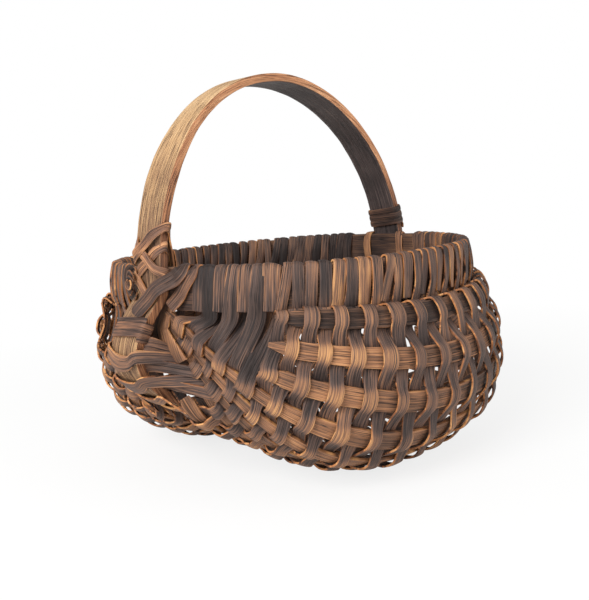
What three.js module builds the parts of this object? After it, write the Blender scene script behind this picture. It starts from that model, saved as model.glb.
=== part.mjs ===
import * as THREE from "three";

// A buttock basket: two full lobes under one hoop handle, woven from split oak.
// Millimetres. X runs from ear to ear, the front lobe is towards -Y, and +Z is up.
// Heights are worked out from the ear line, where the two hoops cross, and the whole
// basket is lifted at the end so that it stands on Z = 0.

// Split oak stock
const BAND_WIDTH = 25;
const HANDLE_THICKNESS = 4.2;
const RIM_THICKNESS = 4;
const RIB_WIDTH = 14;
const RIB_THICKNESS = 2;
const RIB_TIP_WIDTH = 2;
const RIB_TAPER = 0.22;
const RIB_SPACING_SHARE = 0.56;
const BESIDE = 0.25;
const WEAVER_WIDTH = 7.5;
const WEAVER_THICKNESS = 1.2;

// Gaps between splints that bear on each other
const CLEARANCE = 0.3;
const CROSSING_CLEARANCE = 0.6;
const EAR_GAP = 0.45;
const LASHING_CLEARANCE = 0.55;
const EDGE_GAP = 1.2;

// Handle hoop, measured to the middle of the band
const EAR_HALF_SPAN = 117.5;
const HANDLE_RISE = 130;
const HANDLE_LEAN = 9;
const HANDLE_FACETS = 25;

// Middle section of the basket, from the rim round one lobe to the spine
const RIM_REACH = 118.5;
const RIM_SAG = 2;
const SIDE_REACH = 141;
const SIDE_DROP = 58;
const BELLY_REACH = 114;
const BELLY_DROP = 109;
const LOW_REACH = 46;
const LOW_DROP = 121.5;
const SPINE_DROP = 95;

// How square each stave runs from ear to ear: 2 is an ellipse
const RIM_SQUARENESS = 2.28;
const SIDE_SQUARENESS = 2.2;
const BELLY_SQUARENESS = 2.75;
const LOW_SQUARENESS = 2.25;
const SPINE_SQUARENESS = 2.75;

// How far the two ends swell out past the ears
const SIDE_SWELL = 7;
const BELLY_SWELL = 0;
const LOW_SWELL = 4;
const SPINE_SWELL = 23;
const SPINE_SHIFT = 8;
const SWELL_SHARPNESS = 1.5;

// Ribs of one lobe. They leave the ear as a bundle and then fan out.
const RIBS = 8;
const FIRST_EAR_RIB = 4;
const LAST_EAR_RIB = 6;
const UPPER_RIB_ROW = 7;
const LOWER_RIB_ROW = 5;
const LOWEST_RIB = 7;
const RIB_END_SPAN = 113.5;
const RIB_END_REACH = 8;
const RIB_END_DROP = 19.5;
const RIB_END_STEP_DOWN = 5;
const BUNCH = 0.45;
const BUNCH_PLACE = 0.3;

// Weaving
const ROWS = 42;
const ROWS_PER_WEAVER = 2;
const ROWS_PER_FACET = 2;
const EAR_FACETS = 6;
const RIM_START = 32;
const SPINE_START = 41;
const RIB_START = 16;
const LOWER_RIB_LEAD = 0.5;
const ROW_FILL = 0.76;
const SPINE_ROW_FILL = 0.64;
const ROW_LEAD = 1.2;
const EAR_ROWS = 4;
const EAR_NARROWING = 1.3;
const KNEE_DROP = 2.8;
const TAIL_SHARE = 0.9;
const WEAR_DEPTH = 0.6;

// Ear lashings, measured along and up from the middle of the ear
const LASHING_WIDTH = 8;
const LASHING_CORNER = 16.4;
const LASHING_REACH = 27;
const LAYER = 1.5;
const TAIL_WIDTH = 9;
const LASHING_SHIFT = 6;
const TAIL_REACH = 28;
const TAIL_EDGE_REACH = 13.5;
const TAIL_EDGE_DROP = 7;
const TAIL_END_REACH = 0;
const TAIL_END_DROP = 18;
const TAIL_LAYER = 3;
const TAIL_END_LAYER = 0.3;

// Narrow splints wound round the handle at one ear and round the spine at the other
const WRAP_WIDTH = 4.5;
const WRAP_PITCH = 4.8;
const WRAP_GAP = 0.6;
const WRAP_FACE_SHARE = 0.85;
const HANDLE_WRAP_TURNS = 3;
const HANDLE_WRAP_START = 25;
const SPINE_WRAP_TURNS = 2;
const SPINE_WRAP_START = 27.6;

const LAST = 2 * RIBS + 2;
const SPINE = RIBS + 1;
const UP = new THREE.Vector3(0, 0, 1);
const BACKWARDS = new THREE.Vector3(0, 1, 0);

const oak = (name, colour, roughness) =>
  new THREE.MeshStandardMaterial({ name, color: colour, roughness, metalness: 0 });
const handleOak = oak("handle_oak", 0x8a6743, 0.6);
const rimOak = oak("rim_oak", 0x5d4638, 0.7);
const ribOak = oak("rib_oak", 0x8c6141, 0.65);
const weaverOak = oak("weaver_oak", 0x6a4b38, 0.7);
const lashingOak = oak("lashing_oak", 0x7d5437, 0.65);

const basket = new THREE.Group();

// A station of a splint: a point, and half the splint's width as a vector
const station = (point, widthDirection, width) => ({
  point,
  width: widthDirection.clone().setLength(width / 2),
});

// A splint: a rectangular section swept through its stations. Its corners are mitred,
// so it keeps its thickness where it bends.
function splint(name, stations, thickness, material, closed = false) {
  const count = stations.length;
  const links = closed ? count : count - 1;
  const faceNormals = [];
  for (let k = 0; k < links; k += 1) {
    const here = stations[k];
    const next = stations[(k + 1) % count];
    const run = next.point.clone().sub(here.point);
    faceNormals.push(run.cross(here.width.clone().add(next.width)).normalize());
  }
  const positions = [];
  stations.forEach(({ point, width }, k) => {
    const before = faceNormals[closed ? (k + links - 1) % links : Math.max(k - 1, 0)];
    const after = faceNormals[Math.min(k, links - 1)];
    const mitre = before.clone().add(after);
    mitre.multiplyScalar(thickness / 2 / (1 + before.dot(after)));
    for (const [a, b] of [[-1, -1], [1, -1], [1, 1], [-1, 1]]) {
      const corner = point.clone().addScaledVector(width, a).addScaledVector(mitre, b);
      positions.push(corner.x, corner.y, corner.z);
    }
  });
  const index = [];
  for (let k = 0; k < links; k += 1) {
    const here = 4 * k;
    const next = 4 * ((k + 1) % count);
    for (let side = 0; side < 4; side += 1) {
      const turn = (side + 1) % 4;
      index.push(here + side, here + turn, next + turn);
      index.push(here + side, next + turn, next + side);
    }
  }
  if (!closed) {
    const end = 4 * (count - 1);
    index.push(0, 3, 2, 0, 2, 1);
    index.push(end, end + 1, end + 2, end, end + 2, end + 3);
  }
  const geometry = new THREE.BufferGeometry();
  geometry.setAttribute("position", new THREE.Float32BufferAttribute(positions, 3));
  geometry.setIndex(index);
  geometry.computeVertexNormals();
  const mesh = new THREE.Mesh(geometry, material);
  mesh.name = name;
  basket.add(mesh);
}

// The middle section, front rim to back rim, as one smooth curve of reach and drop
const section = new THREE.SplineCurve([
  new THREE.Vector2(-RIM_REACH, 0),
  new THREE.Vector2(-SIDE_REACH, -SIDE_DROP),
  new THREE.Vector2(-BELLY_REACH, -BELLY_DROP),
  new THREE.Vector2(-LOW_REACH, -LOW_DROP),
  new THREE.Vector2(0, -SPINE_DROP),
  new THREE.Vector2(LOW_REACH, -LOW_DROP),
  new THREE.Vector2(BELLY_REACH, -BELLY_DROP),
  new THREE.Vector2(SIDE_REACH, -SIDE_DROP),
  new THREE.Vector2(RIM_REACH, 0),
]);

section.arcLengthDivisions = 400;

// One rib runs along each lobe's lowest line, and the others share out the rest evenly
const spaced = section.getSpacedPoints(section.arcLengthDivisions);
const frontHalf = spaced.slice(0, spaced.length / 2);
const deepest = Math.min(...frontHalf.map((point) => point.y));
const lowShare = frontHalf.findIndex((point) => point.y === deepest) / section.arcLengthDivisions;
function sectionShare(fromRim) {
  if (fromRim <= LOWEST_RIB) return (lowShare * fromRim) / LOWEST_RIB;
  return THREE.MathUtils.mapLinear(fromRim, LOWEST_RIB, SPINE, lowShare, 0.5);
}

// A value given at the rim, side, belly, low point and spine, read anywhere between
function blend(values, place) {
  const points = values.map((value) => new THREE.Vector2(value, 0));
  return new THREE.SplineCurve(points).getPoint(place).x;
}

const SQUARENESS = [
  RIM_SQUARENESS,
  SIDE_SQUARENESS,
  BELLY_SQUARENESS,
  LOW_SQUARENESS,
  SPINE_SQUARENESS,
];
const SWELL = [0, SIDE_SWELL, BELLY_SWELL, LOW_SWELL, SPINE_SWELL];
const earAngle = Math.asin(BAND_WIDTH / 2 / HANDLE_RISE);
const rimHalfSpan =
  EAR_HALF_SPAN * Math.cos(earAngle) - (HANDLE_THICKNESS + RIM_THICKNESS) / 2 - EAR_GAP;

// The straight stretch of a band or rib at a distance: its point, directions and width there
function frameAt(nodes, distance) {
  let k = nodes.findIndex((node) => node.distance > distance) - 1;
  if (k < 0) k = nodes.length - 2;
  const [here, next] = [nodes[k], nodes[k + 1]];
  const share = (distance - here.distance) / (next.distance - here.distance);
  const point = here.point.clone().lerp(next.point, share);
  const along = next.point.clone().sub(here.point).normalize();
  const across = here.across.clone().lerp(next.across, share);
  across.addScaledVector(along, -across.dot(along)).normalize();
  const out = across.clone().cross(along);
  return { point, along, across, out, width: THREE.MathUtils.lerp(here.width, next.width, share) };
}

// A stave is whatever the weavers cross: the rim on either side, a rib or the spine.
// It runs from the left ear to the right ear along a squared ellipse.
class Stave extends THREE.Curve {
  constructor(number) {
    super();
    this.arcLengthDivisions = 400;
    this.number = number;
    this.fromRim = Math.min(number, LAST - number);
    this.side = number < SPINE ? -1 : 1;
    this.isRim = this.fromRim === 0;
    this.isSpine = number === SPINE;
    this.isRib = !this.isRim && !this.isSpine;
    this.firstRow = 0;
    if (this.isRib && this.fromRim < FIRST_EAR_RIB) this.firstRow = UPPER_RIB_ROW;
    if (this.isRib && this.fromRim > LAST_EAR_RIB) this.firstRow = LOWER_RIB_ROW;
    this.isLate = this.firstRow > 0;
    const share = sectionShare(this.fromRim);
    const place = section.getUtoTmapping(this.side < 0 ? share : 1 - share);
    const depth = 2 * Math.min(place, 1 - place);
    this.middle = section.getPoint(place);
    this.power = 2 / blend(SQUARENESS, depth);
    this.swell = blend(SWELL, depth);
    this.halfSpan = RIB_END_SPAN;
    this.thickness = RIB_THICKNESS;
    this.start = RIB_START;
    this.shift = 0;
    this.bunch = 0;
    this.end = new THREE.Vector2(0, 0);
    if (this.isRim) {
      this.halfSpan = rimHalfSpan;
      this.thickness = RIM_THICKNESS;
      this.start = RIM_START;
    }
    if (this.isSpine) {
      this.halfSpan = EAR_HALF_SPAN;
      this.thickness = HANDLE_THICKNESS;
      this.start = SPINE_START;
      this.shift = SPINE_SHIFT;
    }
    if (this.isRib) {
      this.end.x = this.side * RIB_END_REACH;
      this.end.y = -RIB_END_DROP - (this.fromRim - FIRST_EAR_RIB) * RIB_END_STEP_DOWN;
      this.bunch = BUNCH;
      const toEarRib = Math.min(this.fromRim / FIRST_EAR_RIB, 1);
      this.start = THREE.MathUtils.lerp(RIM_START, RIB_START, toEarRib);
      this.start -= Math.max(this.fromRim - LAST_EAR_RIB, 0) * LOWER_RIB_LEAD;
    }
    const bundleAt = this.side < 0 ? BUNCH_PLACE / 2 : 1 - BUNCH_PLACE / 2;
    this.toBundle = section.getPoint(bundleAt).sub(this.middle);
  }

  getPoint(t) {
    const turn = Math.PI * t;
    const out = Math.max(Math.sin(turn), 0) ** this.power;
    const hump = (4 * out * (1 - out)) ** SWELL_SHARPNESS;
    const reachAlong = this.halfSpan * Math.abs(Math.cos(turn)) ** this.power;
    const x = Math.sign(t - 0.5) * (reachAlong + this.swell * hump);
    if (this.isRim) return new THREE.Vector3(x, this.middle.x * out, -RIM_SAG * out);
    const gather = this.bunch * (1 - out) ** 2;
    const aim = this.middle.clone().addScaledVector(this.toBundle, gather);
    const yz = this.end.clone().lerp(aim, out);
    return new THREE.Vector3(x, yz.x + this.shift * hump, yz.y);
  }

  // Distance from the left end at a place in the weave: 0 before the first row, 1 after the last
  distance(place) {
    return this.start + place * (this.getLength() - 2 * this.start);
  }

  smoothPoint(place) {
    return this.getPointAt(THREE.MathUtils.clamp(this.distance(place) / this.getLength(), 0, 1));
  }

  // Where the stave bends: between rows, so that every row crosses a straight stretch
  marks() {
    const marks = [];
    for (let row = this.firstRow; row <= ROWS - this.firstRow; row += ROWS_PER_FACET) {
      marks.push(this.distance(row / ROWS));
    }
    if (!this.isRib) {
      marks[0] -= ROW_LEAD;
      marks[marks.length - 1] += ROW_LEAD;
    }
    if (this.isLate) return marks;
    const facets = this.isRib ? 1 : EAR_FACETS;
    const ear = Array.from({ length: facets }, (_, k) => (k / facets) * this.start);
    return [...ear, ...marks, ...ear.map((mark) => this.getLength() - mark).reverse()];
  }

  // The splint's middle line, the direction of its width and its width, at every mark
  layOut() {
    const length = this.getLength();
    const beside = [-BESIDE, BESIDE].map((step) => this.isRib && new Stave(this.number + step));
    const marks = this.marks();
    this.nodes = marks.map((distance) => {
      const place = (distance - this.start) / (length - 2 * this.start);
      const point = this.getPointAt(distance / length);
      const along = this.getTangentAt(distance / length);
      let across = BACKWARDS.clone();
      let width = BAND_WIDTH;
      if (this.isRim) across = UP.clone().multiplyScalar(this.side);
      if (this.isRib) {
        const before = staves[this.number - 1].smoothPoint(place);
        const after = staves[this.number + 1].smoothPoint(place);
        const pitch = Math.min(before.distanceTo(point), after.distanceTo(point));
        const fromTip = Math.min(distance - marks[0], marks[marks.length - 1] - distance);
        across = beside[1].smoothPoint(place).sub(beside[0].smoothPoint(place));
        width = Math.min(RIB_WIDTH, RIB_TIP_WIDTH + RIB_TAPER * fromTip, RIB_SPACING_SHARE * pitch);
        width = Math.max(width, RIB_TIP_WIDTH);
      }
      across.addScaledVector(along, -across.dot(along)).normalize();
      return { distance, point, across, width };
    });
  }

  // A row's place on the stave, and how wide its weaver can lie there
  rowFrame(row) {
    const pitch = (this.getLength() - 2 * this.start) / ROWS;
    const nearEar = row < EAR_ROWS || row >= ROWS - EAR_ROWS;
    const fill = this.isSpine ? SPINE_ROW_FILL : ROW_FILL;
    const weaverWidth = Math.min(WEAVER_WIDTH, fill * pitch) - (nearEar ? EAR_NARROWING : 0);
    return { ...frameAt(this.nodes, this.distance((row + 0.5) / ROWS)), weaverWidth };
  }

  // Late ribs are let in after the first rows, and end before the last ones
  meets(row) {
    return row >= this.firstRow && row < ROWS - this.firstRow;
  }
}

const staves = [];
for (let number = 0; number <= LAST; number += 1) staves.push(new Stave(number));
staves.forEach((stave) => stave.layOut());
const layStations = (stave) =>
  stave.nodes.map((node) => station(node.point.clone(), node.across, node.width));

// Handle hoop: the handle above the ears and the spine below are one band
function handlePoint(angle) {
  const rise = Math.sin(angle);
  const span = EAR_HALF_SPAN * Math.cos(angle);
  return new THREE.Vector3(span, HANDLE_LEAN * rise * rise, HANDLE_RISE * rise);
}

const handleNodes = [];
for (let k = 0; k <= HANDLE_FACETS; k += 1) {
  const angle = THREE.MathUtils.lerp(earAngle, Math.PI - earAngle, k / HANDLE_FACETS);
  const point = handlePoint(angle);
  const before = handleNodes[k - 1];
  const distance = before ? before.distance + before.point.distanceTo(point) : 0;
  handleNodes.push({ distance, point, across: BACKWARDS.clone(), width: BAND_WIDTH });
}
const handle = handleNodes.map(({ point }) => station(point.clone(), BACKWARDS, BAND_WIDTH));
const hoop = [...handle, ...layStations(staves[SPINE])];
splint("handle_hoop", hoop, HANDLE_THICKNESS, handleOak, true);

// Rim hoop: a flat band on edge, set inside the handle hoop
const flipWidth = ({ point, width }) => ({ point, width: width.clone().negate() });
const frontRim = layStations(staves[0]);
const backRim = layStations(staves[LAST]).reverse().map(flipWidth);
const rimRound = [...frontRim, ...backRim.slice(1, -1)];
splint("rim_hoop", rimRound, RIM_THICKNESS, rimOak, true);

// Ribs: flat splints shaved to a point at each end
for (const stave of staves.filter((one) => one.isRib)) {
  const lobe = stave.side < 0 ? "front" : "back";
  splint(`rib_${lobe}_${stave.fromRim}`, layStations(stave), RIB_THICKNESS, ribOak);
}

// Weaving: a row passes outside a stave (+1) and inside the next (-1)
const sideOf = (stave, row) => ((stave.number + row) % 2 === 0 ? 1 : -1);

function crossing(stave, row, forward) {
  const frame = stave.rowFrame(row);
  const lift = (stave.thickness + WEAVER_THICKNESS) / 2 + CROSSING_CLEARANCE;
  const half = (forward ? 1 : -1) * (frame.width / 2 + EDGE_GAP);
  return [-half, half].map((offset) => {
    const point = frame.point.clone().addScaledVector(frame.across, offset);
    point.addScaledVector(frame.out, lift * sideOf(stave, row));
    return station(point, frame.along, frame.weaverWidth);
  });
}

const rimFace = (RIM_THICKNESS + WEAVER_THICKNESS) / 2 + CLEARANCE;
const rimEdge = (BAND_WIDTH + WEAVER_THICKNESS) / 2 + CLEARANCE;

// A station beside the rim: how far out from its middle line, and how far up
function atRim(rim, row, outwards, upwards) {
  const frame = rim.rowFrame(row);
  const point = frame.point.clone();
  point.addScaledVector(frame.out, outwards).addScaledVector(UP, upwards);
  return station(point, frame.along, frame.weaverWidth);
}

// Over the rim's top, from the face on one side to the other
const overTop = (rim, row, side) => [
  atRim(rim, row, side * rimFace, rimEdge),
  atRim(rim, row, -side * rimFace, rimEdge),
];

// Where a weaver leaves the rim's face for the first rib
const knee = (rim, row, side) => atRim(rim, row, side * rimFace, -rimEdge - KNEE_DROP);

// Two turns round the rim carry a weaver from one row to the next
const rimTurn = (rim, row, side) => [
  knee(rim, row, side),
  ...overTop(rim, row, side),
  atRim(rim, row, -side * rimFace, -rimEdge),
  atRim(rim, row + 1, side * rimFace, -rimEdge),
  ...overTop(rim, row + 1, side),
  knee(rim, row + 1, -side),
];

// A weaver's own end lies flat against the rim, under the next turn
const rimEnd = (rim, row, side) => [
  knee(rim, row, side),
  ...overTop(rim, row, side),
  atRim(rim, row, -side * rimFace, -rimEdge * TAIL_SHARE),
];

function weaver(firstRow, lastRow) {
  const stations = [];
  for (let row = firstRow; row <= lastRow; row += 1) {
    const forward = row % 2 === 0;
    const crossed = staves.filter((stave) => !stave.isRim && stave.meets(row));
    if (!forward) crossed.reverse();
    const [startRim, endRim] = forward ? [staves[0], staves[LAST]] : [staves[LAST], staves[0]];
    if (row === firstRow) {
      const side = -sideOf(crossed[0], row);
      stations.push(...rimEnd(startRim, row, side).reverse());
    }
    for (const stave of crossed) stations.push(...crossing(stave, row, forward));
    const side = -sideOf(crossed[crossed.length - 1], row);
    const turn = row < lastRow ? rimTurn : rimEnd;
    stations.push(...turn(endRim, row, side));
  }
  return stations;
}

for (let row = 0; row < ROWS; row += ROWS_PER_WEAVER) {
  const lastRow = Math.min(row + ROWS_PER_WEAVER, ROWS) - 1;
  const number = String(row / ROWS_PER_WEAVER + 1).padStart(2, "0");
  splint(`weaver_${number}`, weaver(row, lastRow), WEAVER_THICKNESS, weaverOak);
}

// How far out the middle line of the handle hoop lies at a height by the ear
const spineEar = staves[SPINE].nodes.slice(0, EAR_FACETS);
function hoopOut(height) {
  if (height >= 0) return EAR_HALF_SPAN * Math.sqrt(1 - (height / HANDLE_RISE) ** 2);
  let k = spineEar.findIndex((node) => node.point.z < height);
  if (k < 1) k = spineEar.length - 1;
  const [above, below] = [spineEar[k - 1].point, spineEar[k].point];
  return -THREE.MathUtils.mapLinear(height, above.z, below.z, above.x, below.x);
}

// How far out the middle line of the rim hoop lies at a reach from the ear
function rimOut(reach) {
  const share = (Math.abs(reach) / RIM_REACH) ** RIM_SQUARENESS;
  return rimHalfSpan * (1 - share) ** (1 / RIM_SQUARENESS);
}

// The ear's outer face and inner face, at a layer of lashing on top of them
const outerFace = (reach, height, layer) =>
  hoopOut(height) + HANDLE_THICKNESS / 2 + WEAVER_THICKNESS / 2 + LASHING_CLEARANCE + layer * LAYER;
const innerFace = (reach, height, layer) =>
  rimOut(reach) - RIM_THICKNESS / 2 - WEAVER_THICKNESS / 2 - CLEARANCE - layer * LAYER;

// A station on an ear's face. The splint's width lies along a direction of reach and height.
function earStation(ear, face, layer, [reach, height], direction, width = LASHING_WIDTH) {
  const half = new THREE.Vector2(...direction).setLength(width / 2);
  const edges = [-1, 1].map((sign) => {
    const y = reach + sign * half.x;
    const z = height + sign * half.y;
    return new THREE.Vector3(ear * face(y, z, layer), y, z);
  });
  const point = edges[0].clone().lerp(edges[1], 0.5);
  return { point, width: edges[1].clone().sub(point) };
}

const FALLING = [1, -1];
const RISING = [1, 1];
const LEVEL = [1, 0];
const C = LASHING_CORNER;

// One splint binds each ear with an X across the outside, its second strip over its first
function lashing(ear) {
  const outside = (...rest) => earStation(ear, outerFace, ...rest);
  const inside = (...rest) => earStation(ear, innerFace, ...rest);
  const low = C + LASHING_SHIFT;
  return [
    inside(0, [-C, 0], LEVEL),
    inside(0, [-C, C], RISING),
    outside(0, [-C, C], RISING),
    outside(0, [0, 0], RISING),
    outside(0, [low, -C], RISING),
    inside(0, [low, -C], RISING),
    inside(0, [C, 0], LEVEL),
    inside(0, [C, C], FALLING),
    outside(1, [C, C], FALLING),
    outside(1, [0, 0], FALLING),
    outside(1, [-C, -C], FALLING),
    inside(1, [-C, -C], FALLING),
    inside(1, [-C, 0], LEVEL),
  ];
}

// At one ear it goes on: a third strip beside the first, then inside to the rim's top,
// and over it as a broad tail that ends across the X
function longLashing(ear) {
  const outside = (...rest) => earStation(ear, outerFace, ...rest);
  const inside = (...rest) => earStation(ear, innerFace, ...rest);
  const half = (LASHING_REACH - C) / 2;
  const rimTop = (out) => {
    const point = new THREE.Vector3(ear * (rimOut(TAIL_REACH) + out), -TAIL_REACH, rimEdge);
    return station(point, BACKWARDS, TAIL_WIDTH);
  };
  const tailWidth = [
    TAIL_EDGE_DROP - TAIL_END_DROP,
    -TAIL_EDGE_REACH - TAIL_END_REACH,
  ];
  const tail = (layer, place) => outside(layer, place, tailWidth.map((one) => -one), TAIL_WIDTH);
  return [
    ...lashing(ear),
    inside(1, [-C, LASHING_REACH], RISING),
    outside(2, [-C, LASHING_REACH], RISING),
    outside(2, [half, half], RISING),
    outside(2, [LASHING_REACH, -C], RISING),
    inside(1, [LASHING_REACH, -C], RISING),
    rimTop(-rimFace - LAYER),
    rimTop(rimFace),
    tail(TAIL_LAYER, [-TAIL_EDGE_REACH, -TAIL_EDGE_DROP]),
    tail(TAIL_END_LAYER, [TAIL_END_REACH, -TAIL_END_DROP]),
  ];
}

// A splint wound round a band, one station at each of the band's four edges
function wrap(nodes, start, turns) {
  const stations = [];
  const side = (BAND_WIDTH + WEAVER_THICKNESS) / 2 + WRAP_GAP;
  const face = (HANDLE_THICKNESS + WEAVER_THICKNESS) / 2 + WRAP_GAP;
  for (let k = 0; k <= 4 * turns; k += 1) {
    const half = Math.floor(k / 2) + (k % 2) * WRAP_FACE_SHARE;
    const distance = start + (half * WRAP_PITCH) / 2;
    const edges = [-1, 1].map((sign) => frameAt(nodes, distance + (sign * WRAP_WIDTH) / 2).point);
    const along = edges[1].clone().sub(edges[0]);
    const { across } = frameAt(nodes, distance);
    const out = across.clone().cross(along).normalize();
    const acrossSign = k % 4 === 0 || k % 4 === 3 ? -1 : 1;
    const outSign = k % 4 < 2 ? 1 : -1;
    const point = edges[0].clone().lerp(edges[1], 0.5);
    point.addScaledVector(across, acrossSign * side).addScaledVector(out, outSign * face);
    stations.push(station(point, along, WRAP_WIDTH));
  }
  return stations;
}

splint("ear_lashing_left", longLashing(-1), WEAVER_THICKNESS, lashingOak);
splint("ear_lashing_right", lashing(1), WEAVER_THICKNESS, lashingOak);
const handleWrapStart = HANDLE_WRAP_START - BAND_WIDTH / 2;
splint("handle_wrap", wrap(handleNodes, handleWrapStart, HANDLE_WRAP_TURNS), WEAVER_THICKNESS, lashingOak);
const spineNodes = staves[SPINE].nodes;
splint("spine_wrap", wrap(spineNodes, SPINE_WRAP_START, SPINE_WRAP_TURNS), WEAVER_THICKNESS, lashingOak);

// The basket stands on its lowest weavers, which are worn flat where they touch
const bounds = new THREE.Box3().setFromObject(basket, true);
const lift = -bounds.min.z - WEAR_DEPTH;
for (const mesh of basket.children) {
  const { position } = mesh.geometry.attributes;
  for (let k = 0; k < position.count; k += 1) {
    position.setZ(k, Math.max(position.getZ(k) + lift, 0));
  }
  mesh.geometry.computeVertexNormals();
}

const root = new THREE.Group();
root.add(basket);
export default root;
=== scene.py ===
import math

import bmesh
import bpy
import numpy as np
from mathutils import Matrix, Vector, noise


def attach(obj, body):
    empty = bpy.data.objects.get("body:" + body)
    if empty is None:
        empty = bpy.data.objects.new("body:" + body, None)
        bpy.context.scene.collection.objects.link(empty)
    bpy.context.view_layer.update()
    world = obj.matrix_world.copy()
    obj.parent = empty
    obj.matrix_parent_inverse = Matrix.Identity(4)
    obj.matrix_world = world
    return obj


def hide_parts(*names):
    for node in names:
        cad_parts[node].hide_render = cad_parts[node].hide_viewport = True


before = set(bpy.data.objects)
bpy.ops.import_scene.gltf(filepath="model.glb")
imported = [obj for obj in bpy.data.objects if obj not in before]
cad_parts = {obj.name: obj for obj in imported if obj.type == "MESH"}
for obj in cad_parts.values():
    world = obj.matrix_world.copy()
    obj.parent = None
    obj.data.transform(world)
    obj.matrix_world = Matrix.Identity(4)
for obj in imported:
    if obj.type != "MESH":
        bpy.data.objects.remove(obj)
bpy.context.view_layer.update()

# Handle hoop. One heavy band of white oak, split, shaved flat and bent into a full ring.
# Its upper half is the handle, and its lower half is the spine under the basket. Sizes are
# in millimetres from the middle between the ears, which is where the two hoops cross.
MM = 0.001
EAR_HEIGHT = 124.38855590820313  # over the floor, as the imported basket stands
BAND_WIDTH = 25
HANDLE_THICKNESS = 5.4
EAR_HALF_SPAN = 117.5
HANDLE_RISE = 128.6
HANDLE_LEAN = 9
HANDLE_STEPS = 150
SPINE_STEPS = 200
SPINE_DROP = 95
SPINE_SHIFT = 8
SPINE_START = 32

# The section through the middle of both lobes, from the front rim to the back rim, as reach
# and height from the ear line. Then, from the rim to the spine, how square a stave's curve is
# and how far it swells out sideways.
RIM_REACH = 118.5
FRONT_SECTION = [(-RIM_REACH, 0), (-141, -58), (-114, -109), (-46, -121.5)]
BACK_SECTION = [(-reach, height) for reach, height in FRONT_SECTION[::-1]]
SECTION = np.array(FRONT_SECTION + [(0, -SPINE_DROP)] + BACK_SECTION, float)
SQUARENESS = (2.28, 2.2, 2.75, 2.25, 2.75)
SWELL = (0, 7, 0, 4, 23)
SWELL_POWER = 1.5

# Staves are counted from the front rim: the rim, eight ribs, the spine, eight ribs, the rim.
# A stave's line has 800 fine steps, and its direction is felt a little before and after.
RIBS = 8
SPINE = RIBS + 1
LAST = 2 * SPINE
LOWEST_RIB = 7
FINE = 800
NEAR = 0.8
TINY = 1e-9


def spline(points, places):
    """A smooth line through evenly numbered points, read at places from 0 to 1."""
    points = np.asarray(points, float)
    last = len(points) - 1
    spots = np.clip(np.asarray(places, float) * last, 0, last)
    at = np.minimum(spots.astype(int), last - 1)
    t = (spots - at)[..., None]
    before, here = points[np.maximum(at - 1, 0)], points[at]
    after, beyond = points[at + 1], points[np.minimum(at + 2, last)]
    leave, arrive = (after - before) / 2, (beyond - here) / 2
    curve = (2 * here - 2 * after + leave + arrive) * t + (3 * after - 3 * here - 2 * leave - arrive)
    return curve * t * t + leave * t + here


def run_of(line):
    """The distance walked along a line, at each of its points."""
    steps = np.linalg.norm(np.diff(line, axis=0), axis=1)
    return np.concatenate([[0], np.cumsum(steps)])


places = np.linspace(0, 1, FINE + 1)
section_line = spline(SECTION, places)
section_run = run_of(section_line) / run_of(section_line)[-1]
front_heights = section_line[: FINE // 2, 1]
lowest_share = section_run[np.argmin(front_heights)]


def unit(vectors):
    """Vectors of length one."""
    return vectors / np.maximum(np.linalg.norm(vectors, axis=-1, keepdims=True), TINY)


class Stave:
    """A line of the basket that the weavers cross, from the left ear to the right ear. In the
    middle it passes through its own place in the section. Each kind of stave says how it
    hangs from the ears and which way lies across it."""

    is_rim = is_rib = is_spine = False
    first_row = 0

    def __init__(self, number):
        self.number = number
        self.from_rim = min(number, LAST - number)
        self.side = -1 if number < SPINE else 1
        if self.from_rim <= LOWEST_RIB:
            share = lowest_share * self.from_rim / LOWEST_RIB
        else:
            beyond = (0.5 - lowest_share) * (self.from_rim - LOWEST_RIB)
            share = lowest_share + beyond / (SPINE - LOWEST_RIB)
        place = np.interp(share if self.side < 0 else 1 - share, section_run, places)
        depth = 2 * min(place, 1 - place)
        power = 2 / spline(np.array(SQUARENESS)[:, None], depth)[0]
        swell = spline(np.array(SWELL)[:, None], depth)[0]
        turn = math.pi * places
        out = np.clip(np.sin(turn), 0, 1) ** power
        hump = (4 * out * (1 - out)) ** SWELL_POWER
        x = np.sign(places - 0.5) * (self.half_span * np.abs(np.cos(turn)) ** power + swell * hump)
        self.line = np.column_stack([x, self.hang(spline(SECTION, place), out, hump)])
        self.run = run_of(self.line)
        self.length = self.run[-1]

    def at(self, distance):
        """The point at a distance from the left end."""
        return np.array([np.interp(distance, self.run, axis) for axis in self.line.T]).T

    def distance(self, place):
        """How far along a place of the weave is: 0 before the first row, 1 after the last."""
        return self.start + place * (self.length - 2 * self.start)

    def frame(self, distance):
        """The point, and the directions along, across and out of the basket there."""
        along = unit(self.at(distance + NEAR) - self.at(distance - NEAR))
        across = self.across(distance)
        across = unit(across - along * np.sum(across * along))
        return self.at(distance), along, across, np.cross(across, along)


class Spine(Stave):
    """The lower half of the handle hoop. On its way down from each ear it bows a little
    towards the back."""

    is_spine = True
    half_span, start, thickness = EAR_HALF_SPAN, SPINE_START, HANDLE_THICKNESS

    def hang(self, middle, out, hump):
        """Reach and height along the line, which ends in the ears and hangs to the middle."""
        yz = middle * out[:, None]
        yz[:, 0] += SPINE_SHIFT * hump
        return yz

    def across(self, distance):
        """The way over its width."""
        return np.array([0.0, 1.0, 0.0])


spine = Spine(SPINE)


def station_row(point, half, wear_and_shade=0.5, bulge=(0, 0, 0)):
    """A station's numbers in one row: where it is, half its width, how far its middle
    stands over its edges, and how worn it is there, with painted shade added to that on the weavers and
    ribs."""
    return np.concatenate([point, half, bulge, [wear_and_shade]])


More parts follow.
